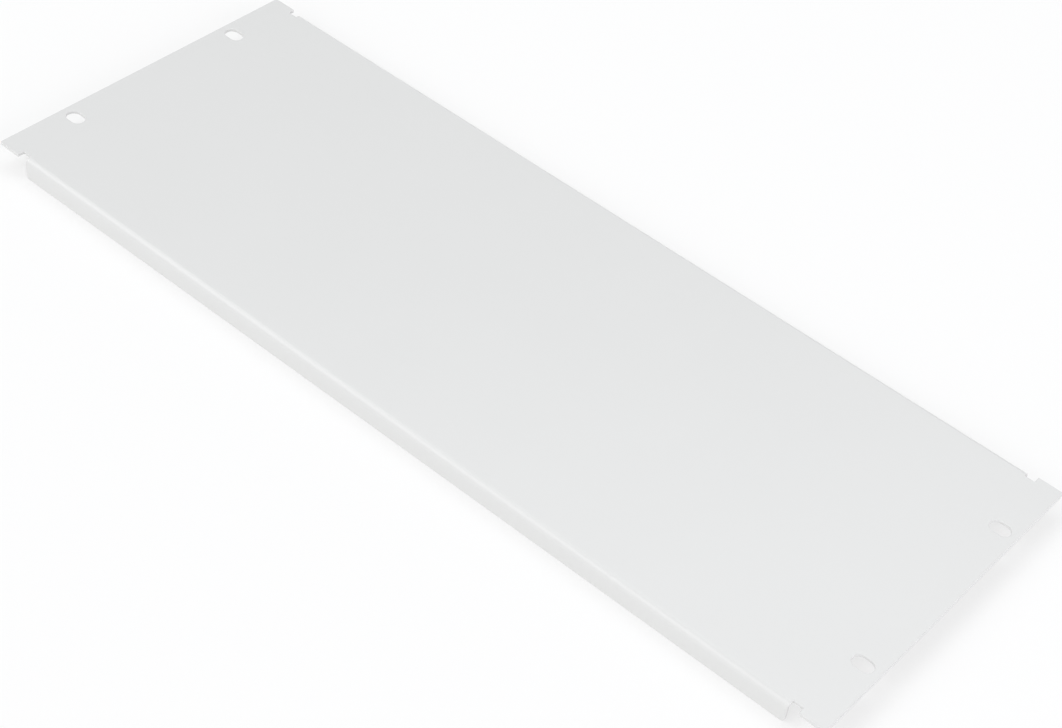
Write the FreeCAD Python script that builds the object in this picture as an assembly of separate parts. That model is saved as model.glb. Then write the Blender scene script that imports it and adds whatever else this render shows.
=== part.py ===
"""Rack blanking panel: one folded steel sheet that closes four units of a 19-inch rack.

The two long edges of the flat face are folded back into shallow stiffening
flanges, which stop short of the ends so that the ears lie over the rack's
rails.  A relief notch parts each end of a fold from the flat ear, and each ear
has two obround slots for the rail screws.

Frame: the origin is under the panel's middle, in the plane of the flanges'
free edges.  +X runs along the width, +Y up the panel as it hangs in the rack
and +Z out of the face.  All lengths are in millimetres.
"""
import FreeCAD, Part
import math
import os

from FreeCAD import Vector

# Sheet
PANEL_WIDTH = 482.6           # over both ears: the 19-inch panel width
PANEL_HEIGHT = 177.0          # four units of 44.45, less the gap to the next panel
SHEET = 1.5                   # thickness of the steel
EAR_CORNER_RADIUS = 1.0       # outer corners of the ears
EDGE_BREAK = 0.2              # taken off both rims of every cut edge

# Folds
BEND_RADIUS = 1.5             # on the inside of a fold
FLANGE_DEPTH = 11.0           # from the face to the flanges' free edges
FLANGE_INSET = 18.0           # from the end of the panel to the end of a flange
FLANGE_CORNER_RADIUS = 2.0    # corners of a flange's free edge

# Relief notches, between a fold and an ear
RELIEF_WIDTH = 5.0
RELIEF_CORNER_RADIUS = 0.5

# Slots for the rail screws
SLOT_LENGTH = 10.0            # end to end, along the width
SLOT_WIDTH = 7.0
SLOT_TO_END = 8.75            # slot centre to the end of the panel
SLOT_TO_LONG_EDGE = 37.7      # slot centre to the nearer long edge

# Places that follow from the sizes, measured from the middle of the panel
PANEL_END = PANEL_WIDTH / 2
LONG_EDGE = PANEL_HEIGHT / 2
OUTER_BEND_RADIUS = BEND_RADIUS + SHEET
FOLD_LINE = LONG_EDGE - OUTER_BEND_RADIUS
RELIEF_FLOOR = FOLD_LINE - RELIEF_CORNER_RADIUS
FLANGE_END = PANEL_END - FLANGE_INSET
EAR_ROOT = FLANGE_END + RELIEF_WIDTH
SLOT_X = PANEL_END - SLOT_TO_END
SLOT_Y = LONG_EDGE - SLOT_TO_LONG_EDGE

# Heights above the flanges' free edges
FACE = FLANGE_DEPTH
FACE_BACK = FACE - SHEET
BEND_CENTRE = FACE - OUTER_BEND_RADIUS

SAME_POINT = 1e-6             # points nearer than this are one point
SHARP = math.radians(30)      # an edge is sharp if its two faces turn more than this


def line(start, end):
    """Straight edge between two points."""
    return Part.LineSegment(start, end).toShape()


def arc(start, end, centre):
    """Shorter circular edge about a centre, from start to end."""
    radius = (start - centre).Length
    middle = (start + end) * 0.5 - centre
    return Part.Arc(start, centre + middle.normalize() * radius, end).toShape()


def rounded_face(corners):
    """Flat face inside an outline of right-angled corners, each given as (x, y, radius)."""
    points = [Vector(x, y, 0) for x, y, _ in corners]
    rounds = []
    for index, corner in enumerate(points):
        radius = corners[index][2]
        to_last = (points[index - 1] - corner).normalize() * radius
        to_next = (points[(index + 1) % len(points)] - corner).normalize() * radius
        rounds.append((corner + to_last, corner + to_next, corner + to_last + to_next))
    edges = []
    for index, (start, end, centre) in enumerate(rounds):
        last_end = rounds[index - 1][1]
        if last_end.distanceToPoint(start) > SAME_POINT:
            edges.append(line(last_end, start))
        if start.distanceToPoint(end) > SAME_POINT:
            edges.append(arc(start, end, centre))
    return Part.Face(Part.Wire(edges))


def flat_sheet():
    """The part of the sheet that stays flat: the face between the folds, and both ears."""
    quarter = [
        (PANEL_END, LONG_EDGE, EAR_CORNER_RADIUS),
        (EAR_ROOT, LONG_EDGE, RELIEF_CORNER_RADIUS),
        (EAR_ROOT, RELIEF_FLOOR, RELIEF_CORNER_RADIUS),
        (FLANGE_END, RELIEF_FLOOR, RELIEF_CORNER_RADIUS),
        (FLANGE_END, FOLD_LINE, 0),
    ]
    corners = []
    for x_side, y_side in ((1, 1), (-1, 1), (-1, -1), (1, -1)):
        mirrored = [(x_side * x, y_side * y, radius) for x, y, radius in quarter]
        corners += mirrored if x_side == y_side else mirrored[::-1]
    outline = rounded_face(corners)
    outline.translate(Vector(0, 0, FACE_BACK))
    return outline.extrude(Vector(0, 0, SHEET))


def fold(side):
    """One bend and its flange, on the long edge at +Y (side 1) or -Y (side -1)."""
    def at(y, z):
        return Vector(-FLANGE_END, side * y, z)

    flange_back = LONG_EDGE - SHEET
    centre = at(FOLD_LINE, BEND_CENTRE)
    section = [
        arc(at(FOLD_LINE, FACE), at(LONG_EDGE, BEND_CENTRE), centre),
        line(at(LONG_EDGE, BEND_CENTRE), at(LONG_EDGE, 0)),
        line(at(LONG_EDGE, 0), at(flange_back, 0)),
        line(at(flange_back, 0), at(flange_back, BEND_CENTRE)),
        arc(at(flange_back, BEND_CENTRE), at(FOLD_LINE, FACE_BACK), centre),
        line(at(FOLD_LINE, FACE_BACK), at(FOLD_LINE, FACE)),
    ]
    solid = Part.Face(Part.Wire(section)).extrude(Vector(2 * FLANGE_END, 0, 0))
    corners = [edge for edge in solid.Edges if is_free_corner(edge)]
    return solid.makeFillet(FLANGE_CORNER_RADIUS, corners)


def is_free_corner(edge):
    """Whether a fold's edge crosses the sheet at one end of the flange's free edge."""
    start, end = (vertex.Point for vertex in edge.Vertexes)
    return max(start.z, end.z) < SAME_POINT and abs(start.x - end.x) < SAME_POINT


def slot_cutter(x, y):
    """Obround prism for one slot, long along X."""
    end_radius = SLOT_WIDTH / 2
    half_straight = SLOT_LENGTH / 2 - end_radius
    straight = Part.makeBox(2 * half_straight, SLOT_WIDTH, FACE,
                            Vector(x - half_straight, y - end_radius, 0))
    ends = [Part.makeCylinder(end_radius, FACE, Vector(x + side * half_straight, y, 0))
            for side in (-1, 1)]
    return straight.fuse(ends).removeSplitter()


def is_sharp(solid, edge):
    """Whether the two faces that meet at an edge turn sharply there."""
    middle = edge.valueAt((edge.FirstParameter + edge.LastParameter) / 2)
    one, other = (face.normalAt(*face.Surface.parameter(middle))
                  for face in solid.ancestorsOfType(edge, Part.Face))
    return one.getAngle(other) > SHARP


def blanking_panel():
    """The whole panel: folded, slotted and with its cut edges broken."""
    solid = flat_sheet().fuse([fold(1), fold(-1)]).removeSplitter()
    slots = [slot_cutter(x, y) for x in (-SLOT_X, SLOT_X) for y in (-SLOT_Y, SLOT_Y)]
    solid = solid.cut(slots)
    rims = [edge for edge in solid.Edges if is_sharp(solid, edge)]
    return solid.makeChamfer(min(EDGE_BREAK, SHEET / 3), rims)


os.makedirs("parts", exist_ok=True)
panel = blanking_panel()
print("valid", panel.isValid(), "solids", len(panel.Solids), "faces", len(panel.Faces))
print("volume", round(panel.Volume, 1), "box", panel.BoundBox)
panel.exportStep("parts/blanking_panel.step")
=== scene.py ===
"""Rack blanking panel: one folded, powder-coated steel sheet, lying face up in a white studio.

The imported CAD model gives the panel's place and overall size.  This script models the same
sheet again with smooth folds, round slots and rounded rims, gives it its coat of paint, and
lights it on a plain pale floor.  All lengths are in metres.
"""
import logging
import math
from collections.abc import Callable
from dataclasses import dataclass
from enum import Enum

import bmesh
import bpy
from mathutils import Matrix, Vector

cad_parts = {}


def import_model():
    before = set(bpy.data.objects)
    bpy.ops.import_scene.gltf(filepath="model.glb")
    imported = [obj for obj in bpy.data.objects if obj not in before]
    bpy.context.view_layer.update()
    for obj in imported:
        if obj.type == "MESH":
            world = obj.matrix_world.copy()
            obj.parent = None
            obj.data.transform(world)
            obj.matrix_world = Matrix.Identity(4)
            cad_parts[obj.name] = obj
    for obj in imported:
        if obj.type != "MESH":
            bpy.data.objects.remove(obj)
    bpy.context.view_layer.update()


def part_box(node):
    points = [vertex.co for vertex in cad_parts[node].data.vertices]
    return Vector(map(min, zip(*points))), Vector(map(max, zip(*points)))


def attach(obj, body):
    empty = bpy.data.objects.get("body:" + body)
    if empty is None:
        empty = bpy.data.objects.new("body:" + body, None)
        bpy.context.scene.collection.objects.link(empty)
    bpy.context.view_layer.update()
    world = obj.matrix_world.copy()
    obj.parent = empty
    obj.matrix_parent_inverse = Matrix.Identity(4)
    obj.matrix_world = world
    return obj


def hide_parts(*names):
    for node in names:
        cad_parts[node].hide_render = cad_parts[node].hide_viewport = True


LOG = logging.getLogger("blanking_panel")
SAME_PLACE = 1e-5          # points nearer than this are at the same place
QUARTER_TURN = math.pi / 2

Place = Vector | tuple[float, float, float]
Points = list[Vector]
Test = Callable[[Points], bool]


class Element(Enum):
    """What an edit acts on, by the name that the select_mode operator has for it."""

    VERTEX = "VERT"
    EDGE = "EDGE"
    FACE = "FACE"


def pick(piece: bpy.types.Object, element: Element, test: Test) -> None:
    """Selects the elements of the piece in edit mode that pass a test, and nothing else.

    Args:
        piece: The object that is in edit mode.
        element: The kind of element to select.
        test: Takes the places of an element's vertices and says whether it is wanted.
    """
    bpy.ops.mesh.select_mode(type=element.value)
    bpy.ops.mesh.select_all(action="DESELECT")
    mesh = bmesh.from_edit_mesh(piece.data)
    if element is Element.VERTEX:
        wanted = [vertex for vertex in mesh.verts if test([vertex.co])]
    elif element is Element.EDGE:
        wanted = [edge for edge in mesh.edges if test([vertex.co for vertex in edge.verts])]
    else:
        wanted = [face for face in mesh.faces if test([vertex.co for vertex in face.verts])]
    for chosen in wanted:
        chosen.select_set(True)
    mesh.select_flush_mode()
    bmesh.update_edit_mesh(piece.data)


def within(low: Place, high: Place) -> Test:
    """Makes a test that passes an element whose vertices all lie in a box or on its sides.

    Args:
        low: The box's lowest corner.
        high: The box's highest corner.

    Returns:
        The test, for pick.
    """
    def test(points: Points) -> bool:
        """Says whether all the points are in the box."""
        return all(low[axis] - SAME_PLACE < point[axis] < high[axis] + SAME_PLACE
                   for point in points for axis in range(3))

    return test


def past(axis: int, place: float, side: int = 1) -> Test:
    """Makes a test that passes an element whose vertices all lie past a plane.

    Args:
        axis: The axis that the plane crosses: 0 for X, 1 for Y, 2 for Z.
        place: Where the plane crosses it.
        side: 1 to pass what lies further along the axis, -1 to pass the rest.

    Returns:
        The test, for pick.
    """
    def test(points: Points) -> bool:
        """Says whether all the points are past the plane."""
        return all(side * (point[axis] - place) > SAME_PLACE for point in points)

    return test


def both(one: Test, other: Test) -> Test:
    """Makes a test that passes what two tests pass.

    Args:
        one: The first test.
        other: The second test.

    Returns:
        The test, for pick.
    """
    def test(points: Points) -> bool:
        """Says whether the points pass both tests."""
        return one(points) and other(points)

    return test


def cut(piece: bpy.types.Object, test: Test, axis: int, place: float) -> None:
    """Bisects the faces that pass a test by a plane across one axis.

    Args:
        piece: The object that is in edit mode.
        test: Says which faces are cut.
        axis: The axis that the plane crosses: 0 for X, 1 for Y.
        place: Where the plane crosses it.
    """
    pick(piece, Element.FACE, test)
    normal = Vector((0, 0, 0))
    normal[axis] = 1
    bpy.ops.mesh.bisect(plane_co=place * normal, plane_no=normal)


def round_corners(piece: bpy.types.Object, test: Test, radius: float, segments: int) -> None:
    """Rounds the outline at the vertices that pass a test.

    Args:
        piece: The object that is in edit mode.
        test: Says which vertices are rounded.
        radius: The radius of the arc that replaces each corner.
        segments: How many edges the arc has.
    """
    pick(piece, Element.VERTEX, test)
    bpy.ops.mesh.bevel(offset=radius, segments=segments, profile=0.5, affect="VERTICES",
                       clamp_overlap=False)


def apply_modifier(piece: bpy.types.Object, kind: str, **settings: object) -> None:
    """Adds a modifier to a piece and applies it.

    Args:
        piece: The active object, in object mode.
        kind: The modifier's type, by Blender's name for it.
        **settings: The values of the modifier's own properties, by their names.
    """
    modifier = piece.modifiers.new(kind.title(), kind)
    for name, value in settings.items():
        setattr(modifier, name, value)
    bpy.ops.object.modifier_apply(modifier=modifier.name)


@dataclass(frozen=True)
class PowderCoat:
    """Light grey polyester powder, cured to a satin skin with a very fine grain.

    The grain and the wider orange peel are bump.  The tone wanders between light and dark
    from one patch to the next.
    """

    light: tuple[float, float, float] = (0.685, 0.688, 0.684)
    dark: tuple[float, float, float] = (0.673, 0.676, 0.672)
    smooth: float = 0.26
    rough: float = 0.34
    grain_size: float = 0.0006
    grain_height: float = 0.000006
    peel_size: float = 0.0035
    peel_height: float = 0.000012
    patch_size: float = 0.06

    def noise(self, coat: bpy.types.Material, size: float, detail: float) -> bpy.types.Node:
        """Adds a noise texture on Object coordinates.

        Args:
            coat: The material that gets the texture.
            size: The width of one feature of the noise.
            detail: How many finer octaves are added.

        Returns:
            The noise node.
        """
        nodes, links = coat.node_tree.nodes, coat.node_tree.links
        place = nodes.new("ShaderNodeTexCoord")
        texture = nodes.new("ShaderNodeTexNoise")
        texture.inputs["Scale"].default_value = 1 / size
        texture.inputs["Detail"].default_value = detail
        links.new(place.outputs["Object"], texture.inputs["Vector"])
        return texture

    def bump(self, coat: bpy.types.Material, texture: bpy.types.Node,
             height: float) -> bpy.types.Node:
        """Adds a bump that follows a texture.

        Args:
            coat: The material that gets the bump.
            texture: The noise node that the bump follows.
            height: How far the texture's full range raises the surface.

        Returns:
            The bump node.
        """
        bump = coat.node_tree.nodes.new("ShaderNodeBump")
        bump.inputs["Distance"].default_value = height
        coat.node_tree.links.new(texture.outputs["Fac"], bump.inputs["Height"])
        return bump

    def material(self) -> bpy.types.Material:
        """Builds the coat as a node material.

        Returns:
            The material.
        """
        coat = bpy.data.materials.new("powder_coat")
        coat.use_nodes = True
        nodes, links = coat.node_tree.nodes, coat.node_tree.links
        shader = nodes["Principled BSDF"]

        patches = self.noise(coat, self.patch_size, detail=3)
        tone = nodes.new("ShaderNodeMix")
        tone.data_type = "RGBA"
        tone.inputs["A"].default_value = (*self.dark, 1)
        tone.inputs["B"].default_value = (*self.light, 1)
        links.new(patches.outputs["Fac"], tone.inputs["Factor"])
        links.new(tone.outputs["Result"], shader.inputs["Base Color"])

        grain = self.noise(coat, self.grain_size, detail=2)
        sheen = nodes.new("ShaderNodeMapRange")
        sheen.inputs["To Min"].default_value = self.smooth
        sheen.inputs["To Max"].default_value = self.rough
        links.new(grain.outputs["Fac"], sheen.inputs["Value"])
        links.new(sheen.outputs["Result"], shader.inputs["Roughness"])

        peel = self.noise(coat, self.peel_size, detail=1)
        coarse = self.bump(coat, peel, self.peel_height)
        fine = self.bump(coat, grain, self.grain_height)
        links.new(coarse.outputs["Normal"], fine.inputs["Normal"])
        links.new(fine.outputs["Normal"], shader.inputs["Normal"])
        return coat


@dataclass
class BlankingPanel:
    """The folded sheet: a flat face, a bend and a flange on each long edge, and two ears.

    The four quarters are alike, so the one at +X +Y is modelled and then mirrored.  It is
    modelled as the skin that faces out, with no thickness; the steel is added behind it.
    """

    low: Vector
    high: Vector
    coat: PowderCoat = PowderCoat()
    sheet: float = 0.0015
    bend_radius: float = 0.0015
    ear_corner_radius: float = 0.001
    flange_inset: float = 0.018
    flange_corner_radius: float = 0.002
    relief_width: float = 0.005
    relief_corner_radius: float = 0.0005
    slot_length: float = 0.010
    slot_width: float = 0.007
    slot_to_end: float = 0.00875
    slot_to_long_edge: float = 0.0377
    slot_margin: float = 0.0014        # from a slot to the window that is cut for it
    rim_radius: float = 0.00025
    rim_angle: float = math.radians(40)       # edges that turn more than this are rims
    smooth_angle: float = math.radians(30)    # faces that turn less than this blend
    bend_segments: int = 18
    corner_segments: int = 8
    rim_segments: int = 4
    slot_side_segments: int = 12       # along each side of a slot's window

    @property
    def outer_bend_radius(self) -> float:
        """Radius of a bend on its outside."""
        return self.bend_radius + self.sheet

    @property
    def fold_line(self) -> float:
        """Y of the line where the flat face meets the bend."""
        return self.high.y - self.outer_bend_radius

    @property
    def relief_floor(self) -> float:
        """Y of the innermost edge of a relief notch."""
        return self.fold_line - self.relief_corner_radius

    @property
    def flange_end(self) -> float:
        """X of the end of a flange."""
        return self.high.x - self.flange_inset

    @property
    def ear_root(self) -> float:
        """X where an ear's full height begins, past the relief notches."""
        return self.flange_end + self.relief_width

    @property
    def slot_centre(self) -> Vector:
        """Middle of a slot, on the face."""
        return self.high - Vector((self.slot_to_end, self.slot_to_long_edge, 0))

    def build(self) -> bpy.types.Object:
        """Models the whole sheet, at the origin and with nothing left to apply.

        Returns:
            The sheet, undressed.
        """
        end, edge, face = self.high
        bpy.ops.object.select_all(action="DESELECT")
        bpy.ops.mesh.primitive_plane_add(size=1, location=(end / 2, edge / 2, face))
        piece = bpy.context.object
        piece.name = piece.data.name = "folded_panel"
        piece.scale = (end, edge, 1)
        bpy.ops.object.transform_apply(location=True, rotation=True, scale=True)
        bpy.ops.object.mode_set(mode="EDIT")
        self.cut_outline(piece)
        self.cut_slot(piece)
        self.fold(piece)
        bpy.ops.object.mode_set(mode="OBJECT")
        apply_modifier(piece, "MIRROR", use_axis=(True, True, False),
                       merge_threshold=SAME_PLACE)
        bpy.ops.object.mode_set(mode="EDIT")
        bpy.ops.mesh.select_all(action="SELECT")
        bpy.ops.mesh.normals_make_consistent(inside=False)
        bpy.ops.object.mode_set(mode="OBJECT")
        self.thicken(piece)
        return piece

    def cut_outline(self, piece: bpy.types.Object) -> None:
        """Trims the flat to the ear, the relief notch and the fold line, and rounds it.

        Args:
            piece: The flat quarter, in edit mode.
        """
        end, edge, face = self.high
        flat = within((0, 0, face), self.high)
        for axis, place in ((0, self.flange_end), (0, self.ear_root), (1, self.relief_floor)):
            cut(piece, flat, axis, place)
        cut(piece, within((0, 0, face), (self.flange_end, edge, face)), 1, self.fold_line)
        for start, stop, floor in ((0, self.flange_end, self.fold_line),
                                   (self.flange_end, self.ear_root, self.relief_floor)):
            pick(piece, Element.FACE, within((start, floor, face), (stop, edge, face)))
            bpy.ops.mesh.delete(type="FACE")
        bpy.ops.mesh.select_all(action="SELECT")
        bpy.ops.mesh.dissolve_limited()
        for x, y, radius in ((end, edge, self.ear_corner_radius),
                             (self.ear_root, edge, self.relief_corner_radius),
                             (self.ear_root, self.relief_floor, self.relief_corner_radius),
                             (self.flange_end, self.relief_floor, self.relief_corner_radius)):
            round_corners(piece, within((x, y, face), (x, y, face)), radius,
                          self.corner_segments)
        bpy.ops.mesh.select_all(action="SELECT")
        bpy.ops.mesh.remove_doubles(threshold=SAME_PLACE)

    def cut_slot(self, piece: bpy.types.Object) -> None:
        """Opens a window in the ear and bridges it to the slot's obround edge.

        The edge is bridged from a little above the face and then set down flush with it, so
        that the two loops have a clear direction between them.

        Args:
            piece: The flat quarter, in edit mode.
        """
        centre = self.slot_centre
        reach = Vector((self.slot_length / 2 + self.slot_margin,
                        self.slot_width / 2 + self.slot_margin, 0))
        low, high = centre - reach, centre + reach
        for x in (low.x, high.x):
            cut(piece, within((0, 0, low.z), self.high), 0, x)
        for y in (low.y, high.y):
            cut(piece, within((low.x, 0, low.z), (high.x, self.high.y, high.z)), 1, y)
        window = within(low, high)
        pick(piece, Element.FACE, window)
        bpy.ops.mesh.delete(type="ONLY_FACE")
        pick(piece, Element.EDGE, window)
        bpy.ops.mesh.subdivide(number_cuts=self.slot_side_segments - 1)

        lift = Vector((0, 0, self.sheet))
        radius = self.slot_width / 2
        bpy.ops.mesh.primitive_circle_add(vertices=4 * self.slot_side_segments, radius=radius,
                                          location=centre + lift)
        raised = past(2, centre.z + self.sheet / 2)
        for side in (-1, 1):
            pick(piece, Element.VERTEX, both(raised, past(0, centre.x, side)))
            bpy.ops.transform.translate(value=(side * (self.slot_length / 2 - radius), 0, 0))
        pick(piece, Element.EDGE, within(low, high + lift))
        bpy.ops.mesh.bridge_edge_loops()
        pick(piece, Element.VERTEX, raised)
        bpy.ops.transform.translate(value=-lift)

    def fold(self, piece: bpy.types.Object) -> None:
        """Turns the long edge down through its bend and draws out the flange.

        Args:
            piece: The flat quarter, in edit mode.
        """
        end, edge, face = self.high
        bend_centre = face - self.outer_bend_radius
        pick(piece, Element.EDGE, within((0, self.fold_line, face),
                                         (self.flange_end, self.fold_line, face)))
        bpy.ops.mesh.spin(steps=self.bend_segments, angle=QUARTER_TURN,
                          center=(0, self.fold_line, bend_centre), axis=(1, 0, 0))
        pick(piece, Element.EDGE, within((0, edge, bend_centre), (end, edge, bend_centre)))
        bpy.ops.mesh.extrude_edges_move(
            TRANSFORM_OT_translate={"value": (0, 0, self.low.z - bend_centre)})
        free_corner = (self.flange_end, edge, self.low.z)
        round_corners(piece, within(free_corner, free_corner), self.flange_corner_radius,
                      self.corner_segments)

    def thicken(self, piece: bpy.types.Object) -> None:
        """Adds the steel behind the skin, rounds every rim and smooths the shading.

        Args:
            piece: The whole skin, in object mode.
        """
        apply_modifier(piece, "SOLIDIFY", thickness=self.sheet, offset=-1, use_even_offset=True)
        apply_modifier(piece, "BEVEL", width=self.rim_radius, segments=self.rim_segments,
                       limit_method="ANGLE", angle_limit=self.rim_angle,
                       use_clamp_overlap=False)
        bpy.ops.object.shade_smooth_by_angle(angle=self.smooth_angle)
        apply_modifier(piece, "WEIGHTED_NORMAL", keep_sharp=True)

    def dress(self, piece: bpy.types.Object) -> None:
        """Coats the sheet and puts it in the CAD node's place.

        Args:
            piece: The finished sheet.
        """
        piece.data.materials.append(self.coat.material())
        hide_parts("blanking_panel")
        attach(piece, "root")


@dataclass(frozen=True)
class Lamp:
    """One rectangular soft box, aimed at the middle of the panel and hidden from the camera.

    Its azimuth is measured from +X towards +Y, and both angles are in degrees.
    """

    name: str
    azimuth: float
    elevation: float
    distance: float
    size: tuple[float, float]
    power: float
    colour: tuple[float, float, float] = (1.0, 1.0, 1.0)

    def hang(self) -> None:
        """Creates the lamp and turns it towards the panel."""
        data = bpy.data.lights.new(self.name, "AREA")
        data.shape = "RECTANGLE"
        data.size, data.size_y = self.size
        data.energy = self.power
        data.color = self.colour
        turn, rise = math.radians(self.azimuth), math.radians(self.elevation)
        place = self.distance * Vector((math.cos(turn) * math.cos(rise),
                                        math.sin(turn) * math.cos(rise), math.sin(rise)))
        lamp = bpy.data.objects.new(self.name, data)
        lamp.visible_camera = False
        lamp.location = place
        lamp.rotation_euler = place.to_track_quat("Z", "Y").to_euler()
        bpy.context.scene.collection.objects.link(lamp)


@dataclass(frozen=True)
class FloorPaint:
    """Matt pale paint with an even glow, as on a floor that is lit from below."""

    tone: tuple[float, float, float] = (0.36, 0.36, 0.36)
    roughness: float = 1.0
    gloss: float = 0.0
    glow_tone: tuple[float, float, float] = (1.0, 1.0, 1.0)
    glow: float = 0.58

    def material(self) -> bpy.types.Material:
        """Builds the paint as a node material.

        Returns:
            The material.
        """
        paint = bpy.data.materials.new("studio_white")
        paint.use_nodes = True
        shader = paint.node_tree.nodes["Principled BSDF"]
        shader.inputs["Base Color"].default_value = (*self.tone, 1)
        shader.inputs["Roughness"].default_value = self.roughness
        shader.inputs["Specular IOR Level"].default_value = self.gloss
        shader.inputs["Emission Color"].default_value = (*self.glow_tone, 1)
        shader.inputs["Emission Strength"].default_value = self.glow
        return paint


@dataclass
class Studio:
    """A pale floor lit from below, soft boxes round the panel, and the camera.

    The camera looks at a point on the panel's face.  Its azimuth is measured from -Y towards
    +X, and its angles are in degrees.
    """

    face: float
    floor_size: float = 12.0
    floor_drop: float = 0.00002
    floor_paint: FloorPaint = FloorPaint()
    sky_tone: tuple[float, float, float] = (1.0, 1.0, 1.0)
    sky_strength: float = 0.456
    lamps: tuple[Lamp, ...] = (
        Lamp("key", 225, 42, 5.0, (4.6, 3.6), 109.6),
        Lamp("front", 290, 22, 5.0, (6.6, 2.6), 78.2),
        Lamp("right", 5, 22, 2.0, (2.0, 1.1), 15.6, (0.98, 0.965, 1.0)),
        Lamp("back", 130, 60, 3.0, (3.2, 1.5), 28.7, (0.955, 0.985, 1.0)),
        Lamp("rim", 113, 6, 5.0, (5.0, 0.8), 21.9),
    )
    azimuth: float = 32.98
    elevation: float = 43.32
    roll: float = 9.44
    distance: float = 0.974
    aim: tuple[float, float] = (0.0622, 0.0152)
    lens: float = 74.75
    shift: float = -0.1

    def lay_floor(self) -> None:
        """Lays the glowing floor that the flanges stand on."""
        bpy.ops.object.select_all(action="DESELECT")
        bpy.ops.mesh.primitive_plane_add(size=self.floor_size, location=(0, 0, -self.floor_drop))
        floor = bpy.context.object
        floor.name = floor.data.name = "studio_floor"
        floor.data.materials.append(self.floor_paint.material())

    def light(self) -> None:
        """Lights the panel softly from all round, and hangs the lamps."""
        world = bpy.data.worlds.new("studio_sky")
        world.use_nodes = True
        sky = world.node_tree.nodes["Background"]
        sky.inputs["Color"].default_value = (*self.sky_tone, 1)
        sky.inputs["Strength"].default_value = self.sky_strength
        bpy.context.scene.world = world
        bpy.context.scene.view_settings.view_transform = "Standard"
        for lamp in self.lamps:
            lamp.hang()

    def place_camera(self) -> None:
        """Sets the camera up, looking down across the panel from the front right."""
        turn, rise, roll = (math.radians(angle)
                            for angle in (self.azimuth, self.elevation, self.roll))
        back = Vector((math.sin(turn) * math.cos(rise), -math.cos(turn) * math.cos(rise),
                       math.sin(rise)))
        level = Vector((math.cos(turn), math.sin(turn), 0))
        above = back.cross(level)
        right = level * math.cos(roll) + above * math.sin(roll)
        up = above * math.cos(roll) - level * math.sin(roll)
        data = bpy.data.cameras.new("camera")
        data.lens = self.lens
        data.shift_x = self.shift
        camera = bpy.data.objects.new("camera", data)
        place = Vector((*self.aim, self.face)) + back * self.distance
        axes = Matrix((right, up, back)).transposed().to_4x4()
        camera.matrix_world = Matrix.Translation(place) @ axes
        bpy.context.scene.collection.objects.link(camera)
        bpy.context.scene.camera = camera


def main() -> None:
    """Loads the frame, builds the panel and the studio, and reports what was made."""
    logging.basicConfig(level=logging.INFO, format="%(name)s: %(message)s")
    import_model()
    low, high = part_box("blanking_panel")
    panel = BlankingPanel(low, high)
    piece = panel.build()
    panel.dress(piece)
    LOG.info("%s: %d faces", piece.name, len(piece.data.polygons))
    studio = Studio(face=high.z)
    studio.lay_floor()
    studio.light()
    studio.place_camera()


if __name__ == "__main__":
    main()
